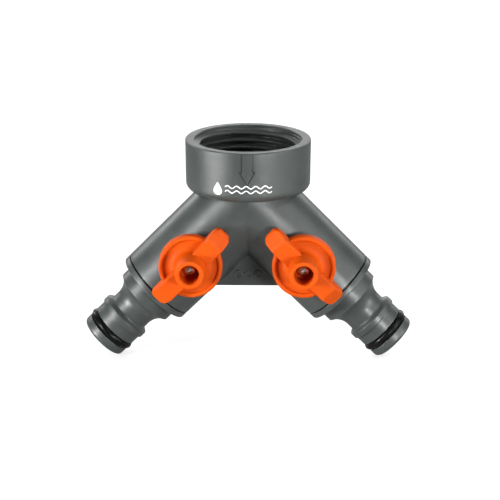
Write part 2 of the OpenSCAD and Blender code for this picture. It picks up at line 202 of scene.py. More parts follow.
# %% [markdown]
# ### Cutting and joining
# A Boolean modifier joins one solid to another or cuts it out. Once the result is
# the piece's own mesh, the solids that served as tools are removed.

# %% Cutting and joining
def combine(piece, joined=(), cut=()):
    """Joins solids to the piece, then cuts others out of it, with exact Boolean
    modifiers, and makes the result the piece's own mesh."""
    for operation, tools in (("UNION", joined), ("DIFFERENCE", cut)):
        for tool in tools:
            step = piece.modifiers.new(tool.name, "BOOLEAN")
            step.operation = operation
            step.solver = "MANIFOLD"
            step.object = tool
    seen = bpy.context.evaluated_depsgraph_get()
    made = bpy.data.meshes.new_from_object(piece.evaluated_get(seen))
    old = piece.data
    piece.modifiers.clear()
    piece.data = made
    made.name = old.name
    bpy.data.meshes.remove(old)
    for tool in (*joined, *cut):
        bpy.data.objects.remove(tool)
    return piece


def finish_mesh(piece, crease=32):
    """Smooth shading, with a sharp line wherever two faces meet at more than the
    crease angle in degrees."""
    mesh = piece.data
    mesh.polygons.foreach_set("use_smooth", np.ones(len(mesh.polygons), bool))
    mesh.set_sharp_from_angle(angle=math.radians(crease))
    mesh.update()
    mesh.calc_loop_triangles()
    print(piece.name, "has", len(mesh.loop_triangles), "triangles")
    return piece


# %% [markdown]
# ### Where things are
# The record's left plug mount lies on the left branch's axis, and so does the
# right one on the right. Followed back to the middle, both axes meet at the
# junction. A branch's own frame has z along the branch, x towards the front and y
# up and outwards. A valve's frame has z towards the front and x in line with the
# branch, which is how the knob's bar lies when the valve is open.

# %% Places from the record
mounts = {mount["name"]: mount for mount in frame["record"]["mounts"]}
joints = {joint["name"]: joint for joint in frame["joints"]}
FRONT = np.array([0.0, -1.0, 0.0])


def along(side):
    """Unit vector down a branch, from the junction to the plug."""
    axis = np.array(mounts[f"{side}_outlet_plug"]["axis"], float)
    return axis / np.linalg.norm(axis)


def outward(side):
    """Unit vector square to a branch, up and away from the middle."""
    axis = along(side)
    return np.array([-axis[2], 0, axis[0]]) * SIDES[side]


plug_at = np.array(mounts["left_outlet_plug"]["pos_m"])
junction = plug_at - along("left") * plug_at[0] / along("left")[0]
valve_at = {side: np.array(joints[f"{side}_valve_turn"]["pos_m"]) for side in SIDES}


def branch_place(side, start=0):
    """Frame of a branch, with its origin a distance in mm from the junction."""
    return junction + along(side) * start * MM, FRONT, outward(side), along(side)


def valve_place(side):
    """Frame of a valve, with its origin on the branch's axis."""
    return valve_at[side], along(side) * SIDES[side], outward(side), FRONT


print("junction, mm:", np.round(junction / MM, 2))
print("valves, mm:", {side: np.round(at / MM, 2) for side, at in valve_at.items()})

# %% [markdown]
# ## The body
# The body is one grey moulding: a round collar over two branches that lean out at
# 45 degrees, a thin web between them, and a small boss for each valve stem. Each
# part of it is a plain solid whose profile is carried round its own axis. Boolean
# modifiers join them, which gives the same curved lines where they meet as the
# mould has.
#
# The collar narrows slightly downwards, as a moulding must to leave its mould.

# %% Collar
COLLAR_R = 19.8
COLLAR_FOOT_R = 19.55
COLLAR_H = 16.2
COLLAR_ROUND = 2.5
RIM_ROUND = 0.5


def collar():
    """Filled turned solid: flat rim, round edge, drafted side, rounder foot."""
    profile = soften([(0, 0, 0), (COLLAR_R, 0, RIM_ROUND),
                      (COLLAR_FOOT_R, -COLLAR_H, COLLAR_ROUND), (0, -COLLAR_H, 0)],
                     arc_step=9)
    return turned("collar", profile, 1.2, 288)


body = collar()

# %% [markdown]
# An arrow on the front of the collar shows the way the water flows. It stands a
# third of a millimetre proud with steep edges, and a fine groove runs round its
# foot. Both are thin patches of the collar's surface whose height follows the
# distance from the arrow's outline, so that edge and groove are even all round.

# %% Flow arrow
ARROW_SHAFT = (1.55, 6.1)
ARROW_HEAD = (2.2, 3.7)
ARROW_OVERLAP = 0.2
ARROW_RISE = 0.32
ARROW_SLOPE = 0.14
ARROW_SUNK = 0.3
MOAT_AT = -0.2
MOAT_HALF_W = 0.16
MOAT_DEPTH = 0.16
MOAT_CLEAR = 0.05
PATCH_HALF_W = 2.9
PATCH_FOOT = 10.6


def arrow_distance(x, depth):
    """How far a point lies inside the arrow, negative outside it. The arrow is a
    shaft joined to a triangle, and each is the least of its edges' distances."""
    shaft = np.minimum(ARROW_SHAFT[0] - np.abs(x), ARROW_SHAFT[1] + ARROW_OVERLAP - depth)
    half, length = ARROW_HEAD
    slant = math.hypot(half, length)
    flank = (half * (ARROW_SHAFT[1] + length - depth) / length - np.abs(x)) * length / slant
    head = np.minimum(flank, depth - ARROW_SHAFT[1])
    return np.maximum(shaft, head)


def smooth(t):
    """Rises gently from 0 to 1 as t does, flat at both ends."""
    t = np.clip(t, 0, 1)
    return t * t * (3 - 2 * t)


def collar_patch(name, lift, inner_lift):
    """Patch of the collar's front between two heights over its side. Each height
    is a function of the distance from the arrow's outline."""
    x = np.linspace(-PATCH_HALF_W, PATCH_HALF_W, 109)[None, :]
    depth = np.linspace(RIM_ROUND, PATCH_FOOT, 161)[:, None]
    inside = arrow_distance(x, depth)
    side_r = COLLAR_R - (COLLAR_R - COLLAR_FOOT_R) * depth / COLLAR_H
    turn = x / COLLAR_R
    layers = [np.stack([r * np.sin(turn), -r * np.cos(turn), -depth + 0 * r], axis=-1)
              for r in (side_r + lift(inside), side_r + inner_lift(inside))]
    ring = np.concatenate([layers[0], layers[1][:, ::-1]], axis=1)
    return mesh_of(name, ring, caps=(0, -1))


def arrow_face(inside):
    """Sunk under the collar's side outside the outline, and proud of it inside."""
    return (ARROW_RISE + ARROW_SUNK) * smooth(inside / ARROW_SLOPE + 0.5) - ARROW_SUNK


def moat_floor(inside):
    """Just clear of the collar's side, but for a dip along the arrow's outline."""
    dip = smooth(1 - np.abs(inside - MOAT_AT) / MOAT_HALF_W)
    return MOAT_CLEAR - (MOAT_DEPTH + MOAT_CLEAR) * dip


arrow = collar_patch("arrow", arrow_face, lambda inside: -1 + 0 * inside)
moat = collar_patch("arrow_moat", lambda inside: 1 + 0 * inside, moat_floor)
combine(body, cut=[moat])
print("arrow length, mm:", ARROW_SHAFT[1] + ARROW_HEAD[1])

# %% [markdown]
# Each branch is a cone that narrows by less than a millimetre from the junction
# to its mouth. It starts inside the collar, where the Boolean swallows its end.
# The two meet on the middle plane, so each is cut off there first, a hair past
# the plane so that they overlap. One crease is left down the front and the back.

# %% Branches
BRANCH_ROOT_R = 13.3
BRANCH_MOUTH_R = 12.86
BRANCH_END = 40.0
BRANCH_START = -4.5
MITRE_LAP = 0.04
HALF_W = 60
HALF_REACH = 30
HALF_TOP = 10
HALF_FOOT = -80


def far_half(side):
    """Block that holds the other branch's half of the space, but for the overlap."""
    x = -SIDES[side] * np.array([MITRE_LAP, HALF_W])[:, None]
    y = HALF_REACH * np.array([-1, 1, 1, -1])
    z = np.array([HALF_TOP, HALF_TOP, HALF_FOOT, HALF_FOOT])
    return mesh_of(f"{side}_far_half", np.stack([x + 0 * y, y + 0 * x, z + 0 * x], axis=-1),
                   caps=(0, -1))


def branch(side):
    """Filled cone along the branch, with a small round at the mouth."""
    profile = soften([(0, BRANCH_START, 0), (BRANCH_ROOT_R, BRANCH_START, 0),
                      (BRANCH_MOUTH_R, BRANCH_END, 0.2), (0, BRANCH_END, 0)])
    piece = turned(f"{side}_branch", profile, 1.2, 240, branch_place(side))
    return combine(piece, cut=[far_half(side)])


branches = [branch(side) for side in SIDES]
print("branch axis to mouth, mm:", BRANCH_END)

# %% [markdown]
# The web stiffens the corner between the branches. Its foot is flat, with soft
# edges. Along each branch it has a small hollow fillet, which shows as a thin
# line of light. A mould maker adds such a fillet wherever two walls meet, because
# a sharp inner corner would crack.

# %% Web and its fillets
WEB_HALF_T = 3.5
WEB_FOOT = -47.45
WEB_PEAK = -36.0
WEB_EASE = 0.6
FILLET = 0.45
FILLET_SPAN = (10, 24.6)
middle_z = junction[2] / MM


def web():
    """Section across the web, carried from side to side and spread towards the
    foot, so that its sloping ends stay inside the branches."""
    section = soften([(-WEB_HALF_T, WEB_FOOT, 0.4), (WEB_HALF_T, WEB_FOOT, 0.4),
                      (WEB_HALF_T, WEB_PEAK, 0), (-WEB_HALF_T, WEB_PEAK, 0)], closed=True)
    section = fill_in(section, 0.8, closed=True)
    half = WEB_EASE + WEB_PEAK - section[:, 1]
    x = np.linspace(-1, 1, 29)[:, None] * half
    grid = np.stack([x, section[:, 0] + 0 * x, section[:, 1] + 0 * x], axis=-1)
    return mesh_of("web", grid, caps=(0, -1))


def web_fillet(side, face):
    """Hollow triangle along a branch. The hollow is an arc that touches both the
    web's face and the branch: its centre stands one fillet radius off each. Two
    points inside the web and the branch close the section."""
    radius = (BRANCH_ROOT_R + BRANCH_MOUTH_R) / 2
    centre = np.array([-math.sqrt((radius + FILLET) ** 2 - (WEB_HALF_T + FILLET) ** 2),
                       WEB_HALF_T + FILLET])
    touch_web = centre - [0, FILLET]
    touch_branch = centre * radius / (radius + FILLET)
    first = math.atan2(*(touch_web - centre)[::-1])
    last = math.atan2(*(touch_branch - centre)[::-1])
    angle = np.linspace(first, last, 7)[:, None]
    arc = centre + FILLET * np.hstack([np.cos(angle), np.sin(angle)])
    inside = np.array([[centre[0] + 1.5, WEB_HALF_T - 1], [centre[0] - 0.3, WEB_HALF_T - 0.6]])
    loop = np.vstack([arc, inside])
    length = np.linspace(*FILLET_SPAN, 13)[:, None]
    grid = np.stack([face * loop[:, 1] + 0 * length, loop[:, 0] + 0 * length,
                     length + 0 * loop[:, 0]], axis=-1)
    return mesh_of(f"{side}_fillet_{face}", grid, caps=(0, -1), place=branch_place(side))


webs = [web()] + [web_fillet(side, face) for side in SIDES for face in (-1, 1)]
print("web pieces:", len(webs))

# %% [markdown]
# A small boss on the front of each branch carries the valve's stem, and a lug
# beside it stops the knob after a quarter turn. Both stand under the knob.

# %% Bosses and stop lugs
BOSS_R = 7.0
BOSS_END = 15.4
BOSS_FOOT = 10.2
LUG_R = 8.6
LUG_HALF_SWEEP = 15


def boss(side):
    """Filled turned boss with a soft edge."""
    profile = soften([(0, BOSS_FOOT, 0), (BOSS_R, BOSS_FOOT, 0), (BOSS_R, BOSS_END, 0.3),
                      (0, BOSS_END, 0)])
    return turned(f"{side}_boss", profile, 1, 96, valve_place(side))


def lug(side):
    """Section of the lug carried round the boss through its sweep."""
    section = soften([(BOSS_R - 1, BOSS_FOOT, 0), (LUG_R, BOSS_FOOT, 0),
                      (LUG_R, BOSS_END, 0.3), (BOSS_R - 1, BOSS_END, 0)], closed=True)
    return swept(f"{side}_lug", section, 90 + LUG_HALF_SWEEP * np.linspace(-1, 1, 13),
                 valve_place(side))


bosses = [make(side) for side in SIDES for make in (boss, lug)]
print("bosses and lugs:", len(bosses))

# %% [markdown]
# Low on the front of the web the mould leaves a small raised mark, here three
# plain rings.

# %% Mould mark on the web
MARK_Z = -43.6
MARK_PITCH = 3.1
MARK_R = 1.05
MARK_CORD_R = 0.24
MARK_SUNK = 0.02


def mark_ring(number):
    """Half-buried ring: a small circle carried round a larger one."""
    ring_turn = (np.arange(48) * TURN / 48)[:, None]
    cord_turn = np.arange(12) * TURN / 12
    radius = MARK_R + MARK_CORD_R * np.cos(cord_turn)
    x = (number - 1) * MARK_PITCH + radius * np.cos(ring_turn)
    z = MARK_Z + radius * np.sin(ring_turn)
    y = -WEB_HALF_T - MARK_SUNK + MARK_CORD_R * np.sin(cord_turn) + 0 * ring_turn
    return mesh_of(f"mark_{number}", np.stack([x, y, z], axis=-1), join_rows=True)


marks = [mark_ring(number) for number in range(3)]
print("mark rings:", len(marks))

# %% [markdown]
# The socket takes a tap's one-inch pipe thread. Its tool is a solid core that is
# cut out of the collar, as the steel core of the mould leaves the hollow behind.
# The core's radius follows the thread: a ridge whose height depends only on how
# far a point is from the helix, so one formula gives all the turns. The ridge
# fades in under the plain entry band and fades out above the washer.

# %% Threaded socket core
ENTRY_R = 16.875
ENTRY_DEPTH = 1.4
ENTRY_TAPER = (0.9, 0.6)
MOUTH_CHAMFER = 0.3
ROOT_R = 16.6
POCKET_TOP = 12.1
POCKET_R = 16.3
POCKET_FLOOR = 14.6
PITCH = 2.309
RIDGE = 1.42
RIDGE_START = math.radians(276)
RIDGE_FADE = (0.7, 0.8)
THREAD_COLUMNS = 240


def ridge_height(phase):
    """Height of the thread's tooth at a phase of 0 to 1 along one pitch: flanks at
    27.5 degrees, softened where they meet the crest and the root."""
    axial = np.abs(phase - 0.5) * PITCH
    flank = RIDGE * math.tan(math.radians(27.5))
    crest = (PITCH / 2 - flank) / 2
    return RIDGE * smooth((crest + flank - axial) / flank)


def socket_core():
    """Core whose side is a chamfer and the entry band, then the thread, then the
    washer's pocket. Its ridge climbs by one pitch for each turn round it."""
    depth = np.concatenate([[-1.0, -MOUTH_CHAMFER], np.linspace(0, MOUTH_CHAMFER, 4),
                            [0.5, 0.7], np.linspace(0.9, POCKET_TOP, 124),
                            [POCKET_TOP + 0.01, POCKET_FLOOR]])[:, None]
    turn = np.arange(THREAD_COLUMNS) * TURN / THREAD_COLUMNS
    phase = (depth / PITCH + (turn - RIDGE_START) / TURN) % 1
    fade_in = smooth((depth - ENTRY_DEPTH + 0.45) / RIDGE_FADE[0])
    fade_out = smooth((POCKET_TOP - depth) / RIDGE_FADE[1])
    wall = ENTRY_R + (ROOT_R - ENTRY_R) * smooth((depth - ENTRY_TAPER[0]) / ENTRY_TAPER[1])
    chamfer = np.clip(MOUTH_CHAMFER - depth, 0, 2 * MOUTH_CHAMFER)
    radius = wall - ridge_height(phase) * fade_in * fade_out + chamfer
    radius[depth[:, 0] > POCKET_TOP] = POCKET_R
    grid = np.stack([radius * np.cos(turn), radius * np.sin(turn), -depth + 0 * turn], axis=-1)
    return mesh_of("socket_core", grid, caps=(0, -1))


thread_core = socket_core()
print("thread turns:", round((POCKET_TOP - ENTRY_DEPTH) / PITCH, 1))

# %% [markdown]
# Below the washer the water falls into a round well and then into both branches.
# Each branch's passage widens to the chamber that holds the ball and its seats,
# and the stem's bore comes in from the front.

# %% Water ways and stem bores
WELL_R = 9.0
WELL_TOP = -13.0
WATER_R = 4.75
CHAMBER_R = 9.0
CHAMBER_START = 16.5
STEM_BORE = [(5.3, 10.6), (3.55, 16.4)]


def well():
    """Filled cylinder from inside the washer's pocket down to the junction."""
    profile = np.array([(0, WELL_TOP), (WELL_R, WELL_TOP), (WELL_R, middle_z), (0, middle_z)])
    return turned("well", profile, 1.5, 120)


def branch_passage(side):
    """Filled cylinder that widens in one step to the ball's chamber."""
    profile = np.array([(0, 0), (WATER_R, 0), (WATER_R, CHAMBER_START),
                        (CHAMBER_R, CHAMBER_START), (CHAMBER_R, BRANCH_END + 1),
                        (0, BRANCH_END + 1)], float)
    return turned(f"{side}_passage", profile, 2, 120, branch_place(side))


def stem_bore(side):
    """Filled cylinder that narrows in one step towards the front."""
    (wide, step), (narrow, end) = STEM_BORE
    profile = np.array([(0, 0), (wide, 0), (wide, step), (narrow, step), (narrow, end),
                        (0, end)], float)
    return turned(f"{side}_stem_bore", profile, 2, 96, valve_place(side))


cores = [thread_core, well()] + [make(side) for side in SIDES
                                 for make in (branch_passage, stem_bore)]
combine(body, joined=[arrow, *branches, *webs, *bosses, *marks], cut=cores)
body.name = "splitter_body"
finish_mesh(body)

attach(body, "manifold")
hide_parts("body")

# %% [markdown]
# ## Hose plugs
# A plug is a turned shape: a flange against the branch, a shoulder, a hollow
# waist where a connector's jaws grip, the locking collar that they catch behind,
# a groove for the O-ring and a rounded tip. One profile, carried once round the
# branch's axis, gives all of it, bore and spigot included.

# %% Plug profile
SEAM = 40.225
HALF_GASKET = 0.225
PLUG_BORE_R = 4.75
SPIGOT_R = 8.95
SPIGOT_END = -6.525
FLANGE_END = 2.225
SHOULDER_R = 9.9
SHOULDER_END = 6.275
WAIST_R = 6.88
WAIST_END = 13.624
LOCK_R = 8.35
LOCK_START = 14.624
LOCK_END = 16.524
TIP_R = 7.8
GROOVE_R = 5.85
GROOVE = (20.024, 22.724)
TIP_END = 25.724
HOLLOW_R = 5.9


def hollow_waist():
    """Quarter of a circle, nearly, that sinks from the shoulder to the waist: its
    centre stands one hollow radius outside the waist, where the waist begins."""
    centre_r = WAIST_R + HOLLOW_R
    reach = math.sqrt(HOLLOW_R ** 2 - (centre_r - SHOULDER_R) ** 2)
    angle = np.linspace(math.asin(reach / HOLLOW_R), 0, 16)
    run = SHOULDER_END + reach - HOLLOW_R * np.sin(angle)
    return np.stack([centre_r - HOLLOW_R * np.cos(angle), run], axis=-1)


def plug(side):
    """Closed profile of the plug's wall, measured from the seam."""
    before = soften([(PLUG_BORE_R, SPIGOT_END, 0), (SPIGOT_R, SPIGOT_END, 0.3),
                     (SPIGOT_R, HALF_GASKET, 0), (BRANCH_MOUTH_R, HALF_GASKET, 0.2),
                     (BRANCH_MOUTH_R, FLANGE_END, 0.4), (SHOULDER_R, FLANGE_END, 0.3),
                     (SHOULDER_R, SHOULDER_END, 0)])
    after = soften([(WAIST_R, WAIST_END - 0.6, 0), (WAIST_R, WAIST_END, 0.5),
                    (LOCK_R, LOCK_START, 0.25), (LOCK_R, LOCK_END, 0.25),
                    (TIP_R, LOCK_END, 0.2), (TIP_R, GROOVE[0], 0.15),
                    (GROOVE_R, GROOVE[0], 0.2), (GROOVE_R, GROOVE[1], 0.2),
                    (TIP_R, GROOVE[1], 0.15), (TIP_R, TIP_END, 1.2),
                    (PLUG_BORE_R, TIP_END, 0.3), (PLUG_BORE_R, SPIGOT_END, 0)])
    profile = np.vstack([before[:-1], hollow_waist(), after[:-1]])
    piece = turned(f"{side}_hose_plug", profile, 0.7, 216, branch_place(side, SEAM),
                   closed=True)
    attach(piece, "manifold")
    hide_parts(f"{side}_nipple")
    return finish_mesh(piece)


plugs = {side: plug(side) for side in SIDES}

# %% [markdown]
# ## Rubber seals
# An O-ring is a circle carried round a circle. Moulded rubber always keeps a fine
# flash line where the two halves of its mould met, so the cord's radius rises by
# a few hundredths of a millimetre there. A thin black gasket shows as the dark
# seam between each plug and its branch, and a flat washer lies in the socket.

# %% O-rings, gaskets and the washer
RING_CORD_R = 1.2
RING_MID_R = GROOVE_R + RING_CORD_R
FLASH = (0.035, 0.12)
GASKET_R = 12.51
GASKET_T = 0.45
WASHER_R = (10.5, 16.2)
WASHER_Z = (-14.6, -12.1)


def flash(angle):
    """Cord radius of a moulded ring: a low, narrow ridge on its outermost line."""
    height, width = FLASH
    return RING_CORD_R + height * np.exp(-(np.sin(angle) / width) ** 2) * (np.cos(angle) > 0)


def o_ring(side):
    """Circle of the cord's radius, carried round the groove's middle."""
    angle = np.arange(48) * TURN / 48
    cord = flash(angle)
    profile = np.stack([RING_MID_R + cord * np.cos(angle), cord * np.sin(angle)], axis=-1)
    middle = SEAM + sum(GROOVE) / 2
    return turned(f"{side}_plug_ring", profile, 1, 168, branch_place(side, middle),
                  closed=True)


def flat_ring(name, inner, outer, low_z, high_z, edge, place=None):
    """Flat ring with soft edges."""
    section = soften([(inner, low_z, edge), (outer, low_z, edge), (outer, high_z, edge),
                      (inner, high_z, edge)], closed=True)
    return turned(name, section, 0.8, 192, place, closed=True)


seals = {}
for side in SIDES:
    seals[f"{side}_nipple_oring"] = o_ring(side)
    seals[f"{side}_joint_gasket"] = flat_ring(f"{side}_seam_gasket", CHAMBER_R, GASKET_R, 0,
                                              GASKET_T, 0.12, branch_place(side, BRANCH_END))
seals["inlet_washer"] = flat_ring("socket_washer", *WASHER_R, *WASHER_Z, 0.3)
for node, piece in seals.items():
    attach(piece, "manifold")
    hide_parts(node)
    finish_mesh(piece)

# %% [markdown]
# ## Knobs
# Each knob is one orange moulding. A dished disc with a raised round rim carries
# a bar for finger and thumb, and a tall hub with a hole for a screwdriver. The
# disc and the hub are one turned profile, with a hollow fillet where the hub
# leaves the dish.

# %% Disc and hub
KNOB_BACK = 14.4
DISC_R = 10.0
DISC_H = 3.5
RIM_W = 1.3
DISH_DEPTH = 0.8
HUB_BASE_R = 5.2
HUB_END_R = 4.45
HUB_FILLET = 2.2
KNOB_H = 12.7
HUB_HOLE_R = 3.1
HEAD_SEAT = 20.18


def disc_and_hub(side):
    """Half section from the back's centre out over the rim and up to the hub."""
    dish = KNOB_BACK + DISC_H - DISH_DEPTH
    rim_top = KNOB_BACK + DISC_H
    hub_top = KNOB_BACK + KNOB_H
    profile = soften([(0, KNOB_BACK, 0), (DISC_R, KNOB_BACK, 0.3),
                      (DISC_R, rim_top, RIM_W / 2), (DISC_R - RIM_W, rim_top, RIM_W / 2 - 0.05),
                      (DISC_R - RIM_W - 0.25, dish, 0.35), (HUB_BASE_R, dish, HUB_FILLET),
                      (HUB_END_R, hub_top, 0.35), (0, hub_top, 0)], arc_step=10)
    return turned(f"{side}_valve_knob", profile, 0.5, 168, valve_place(side))


print("dish floor to hub end, mm:", KNOB_H - DISC_H + DISH_DEPTH)

# %% [markdown]
# The bar's outline is a rounded rectangle, and its flat front slopes down to each
# tip. Its surface runs round the outline in one direction and up the wall, over
# the soft edge and in to the bar's middle line in the other.

# %% Bar
BAR_HALF = (15.2, 3.0)
BAR_CORNER = 1.9
BAR_H = 6.4
BAR_TIP_H = 2.6
BAR_SLOPE = 4.0
BAR_BLEND = 0.5
BAR_EDGE = 0.45
BAR_FOOT = 0.4
BAR_DRAFT = 0.06


def bar_outline():
    """Rounded rectangle, seen from the front, as evenly filled points."""
    long, wide = BAR_HALF
    corners = [(long, wide), (-long, wide), (-long, -wide), (long, -wide)]
    outline = soften([(x, y, BAR_CORNER) for x, y in corners], arc_step=9, closed=True)
    return fill_in(outline, 0.4, closed=True)


def bar_front(x):
    """Height of the bar's front: level, then two straight slopes to the tips. The
    lesser of the two is taken softly, so that no hard line is left between."""
    slope = BAR_TIP_H + (BAR_HALF[0] - np.abs(x)) * (BAR_H - BAR_TIP_H) / BAR_SLOPE
    mix = np.clip(0.5 + (BAR_H - slope) / (2 * BAR_BLEND), 0, 1)
    return BAR_H + (slope - BAR_H) * mix - BAR_BLEND * mix * (1 - mix)


def bar(side):
    """Rows of the grid: foot, wall, quarter round, then in to the middle line."""
    outline = bar_outline()
    spine_reach = BAR_HALF[0] - BAR_HALF[1]
    spine = np.stack([np.clip(outline[:, 0], -spine_reach, spine_reach),
                      0 * outline[:, 0]], axis=-1)
    inward = spine - outline
    inward = inward / np.linalg.norm(inward, axis=1)[:, None]
    foot = [spine, outline + inward * 0.6, outline + inward * BAR_DRAFT]
    rows = [np.column_stack([flat, np.full(len(flat), BAR_FOOT)]) for flat in foot]
    for lift in np.linspace(0, 1, 6)[:-1]:
        ring = outline + inward * BAR_DRAFT * (1 - lift)
        top = bar_front(ring[:, 0]) - BAR_EDGE
        rows.append(np.column_stack([ring, BAR_FOOT + (top - BAR_FOOT) * lift]))
    for angle in np.linspace(0, math.pi / 2, 7):
        ring = outline + inward * BAR_EDGE * (1 - math.cos(angle))
        top = bar_front(ring[:, 0]) - BAR_EDGE * (1 - math.sin(angle))
        rows.append(np.column_stack([ring, top]))
    for share in np.linspace(0, 1, 10)[1:]:
        ring = outline + inward * BAR_EDGE
        ring = ring + (spine - ring) * share
        rows.append(np.column_stack([ring, bar_front(ring[:, 0])]))
    grid = np.array(rows) + [0, 0, KNOB_BACK]
    return mesh_of(f"{side}_bar", grid, place=valve_place(side))


print("bar, mm:", 2 * BAR_HALF[0], "by", 2 * BAR_HALF[1])

# %% [markdown]
# The hub's hole, the recess that sits over the boss and the slot for the stop lug
# are cut out. The hole's floor is where the screw's head sits.

# %% Holes in the knob
RECESS_R = 7.3
RECESS_END = 15.7
SQUARE_HALF = 2.53
SQUARE_END = 19.08
SCREW_HOLE_R = 1.18
HOLE_FLARE = 0.35
SLOT_R = 8.9
SLOT_FROM = 73
SLOT_TO = 197


def hub_hole(side):
    """Filled turned core: the screw's own hole, then the wide hole above it. The
    hole flares a little at the hub's end, where the moulding's edge is soft."""
    end = KNOB_BACK + KNOB_H
    profile = soften([(0, RECESS_END - 0.5, 0), (SCREW_HOLE_R, RECESS_END - 0.5, 0),
                      (SCREW_HOLE_R, HEAD_SEAT, 0), (HUB_HOLE_R - 0.1, HEAD_SEAT, 0.35),
                      (HUB_HOLE_R, end - 0.3, 0.3), (HUB_HOLE_R + HOLE_FLARE, end + 0.1, 0),
                      (HUB_HOLE_R + HOLE_FLARE, end + 1, 0), (0, end + 1, 0)])
    return turned(f"{side}_hole", profile, 0.8, 120, valve_place(side))


def knob_recess(side):
    """Filled cylinder, open at the knob's back."""
    profile = np.array([(0, KNOB_BACK - 1), (RECESS_R, KNOB_BACK - 1), (RECESS_R, RECESS_END),
                        (0, RECESS_END)])
    return turned(f"{side}_recess", profile, 1, 120, valve_place(side))


def stop_slot(side):
    """Section of the slot carried through its sweep."""
    section = np.array([(RECESS_R - 1, KNOB_BACK - 1), (SLOT_R, KNOB_BACK - 1),
                        (SLOT_R, RECESS_END), (RECESS_R - 1, RECESS_END)])
    return swept(f"{side}_slot", section, np.linspace(SLOT_FROM, SLOT_TO, 41),
                 valve_place(side))


def square_hole(side):
    """Rounded square carried forwards, for the stem's square end."""
    corner = SQUARE_HALF
    outline = soften([(corner, corner, 0.2), (-corner, corner, 0.2), (-corner, -corner, 0.2),
                      (corner, -corner, 0.2)], closed=True)
    height = np.array([RECESS_END - 0.6, SQUARE_END])[:, None]
    grid = np.stack([outline[:, 0] + 0 * height, outline[:, 1] + 0 * height,
                     height + 0 * outline[:, 0]], axis=-1)
    return mesh_of(f"{side}_square", grid, caps=(0, -1), place=valve_place(side))


def knob(side):
    """Disc and hub joined to the bar, with the holes cut out."""
    piece = disc_and_hub(side)
    holes = [make(side) for make in (hub_hole, knob_recess, stop_slot, square_hole)]
    combine(piece, joined=[bar(side)], cut=holes)
    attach(piece, f"{side}_valve")
    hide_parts(f"{side}_knob")
    return finish_mesh(piece)


knobs = {side: knob(side) for side in SIDES}

# %% [markdown]
# ## Screws
# A bright pan-head screw holds each knob on its stem. The head is a low dome with
# a cross recess. The recess narrows towards its floor, as the driver's tip does,
# so its two outlines are the same cross at two sizes.

# %% Knob screws
HEAD_R = 2.0
HEAD_H = 1.8
HEAD_RIM_H = 0.75
SHANK_R = 1.1
SHANK_L = 6.2
CROSS = (1.35, 0.36)
CROSS_FLOOR = (0.6, 0.2)
CROSS_DEPTH = 1.05
CROSS_TILT = math.radians(20)


def cross_outline(reach, half):
    """Plus sign with soft inner corners, as twelve corners in order."""
    quarter = [(reach, -half, 0), (reach, half, 0), (half, half, half * 0.4)]
    corners = []
    for turn in range(4):
        cos, sin = round(math.cos(turn * math.pi / 2)), round(math.sin(turn * math.pi / 2))
        corners += [(x * cos - y * sin, x * sin + y * cos, radius) for x, y, radius in quarter]
    return soften(corners, arc_step=30, closed=True)


def screw(side):
    """Turned shank and domed head: the dome is a quarter of an ellipse. The shank
    is plain, because the stem hides it."""
    foot = HEAD_SEAT - SHANK_L
    rim = HEAD_SEAT + HEAD_RIM_H
    dome = soften([(0, foot, 0), (SHANK_R, foot, 0.2), (SHANK_R, HEAD_SEAT, 0),
                   (HEAD_R, HEAD_SEAT, 0.12), (HEAD_R, rim, 0)])
    angle = np.linspace(0, math.pi / 2, 16)
    crown = np.column_stack([HEAD_R * np.cos(angle),
                             rim + (HEAD_H - HEAD_RIM_H) * np.sin(angle)])
    piece = turned(f"{side}_screw", np.vstack([dome[:-1], crown]), 0.4, 96, valve_place(side))
    top = HEAD_SEAT + HEAD_H
    rows = []
    for (reach, half), level in ((CROSS_FLOOR, top - CROSS_DEPTH), (CROSS, top + 0.3)):
        flat = cross_outline(reach, half)
        cos, sin = math.cos(CROSS_TILT), math.sin(CROSS_TILT)
        flat = flat @ np.array([(cos, sin), (-sin, cos)])
        rows.append(np.column_stack([flat, np.full(len(flat), level)]))
    recess = mesh_of(f"{side}_cross", np.array(rows), caps=(0, -1), place=valve_place(side))
    combine(piece, cut=[recess])
    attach(piece, f"{side}_valve")
    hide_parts(f"{side}_knob_screw")
    return finish_mesh(piece, crease=40)


screws = {side: screw(side) for side in SIDES}

# %% [markdown]
# ## White print on the collar
# A pad print is a film of white ink a few hundredths of a millimetre thick. Its
# outline is drawn flat and then bent round the collar. The print here is plain: a
# drop, and two strokes that rise and fall like waves.

# %% Print
INK = 0.035
INK_SUNK = 0.03
PRINT_Z = -11.6
DROP_X = -9.6
DROP_R = 2.1
WAVE_X = (-7.0, 8.0)
WAVE_STROKE = 0.16
WAVE_RISE = 0.4
WAVE_LENGTH = 3.0
WAVE_GAP = 1.5


def on_collar(x, z, lift):
    """Bends a flat drawing round the collar's side: x becomes an arc length."""
    radius = COLLAR_R - (COLLAR_R - COLLAR_FOOT_R) * -z / COLLAR_H + lift
    turn = x / COLLAR_R
    return np.stack([radius * np.sin(turn), -radius * np.cos(turn), z], axis=-1)


def ink_film(name, left, right):
    """Closed film between two edges, each an array of flat (x, z) points. Rows
    run along the print, and columns go over the ink's front and back again."""
    share = np.linspace(0, 1, 7)[:, None, None]
    face = left[None] * (1 - share) + right[None] * share
    front = on_collar(face[..., 0], face[..., 1], INK)
    back = on_collar(face[..., 0], face[..., 1], -INK_SUNK)[::-1]
    grid = np.concatenate([front, back]).transpose(1, 0, 2)
    return mesh_of(name, grid, caps=(0, -1))


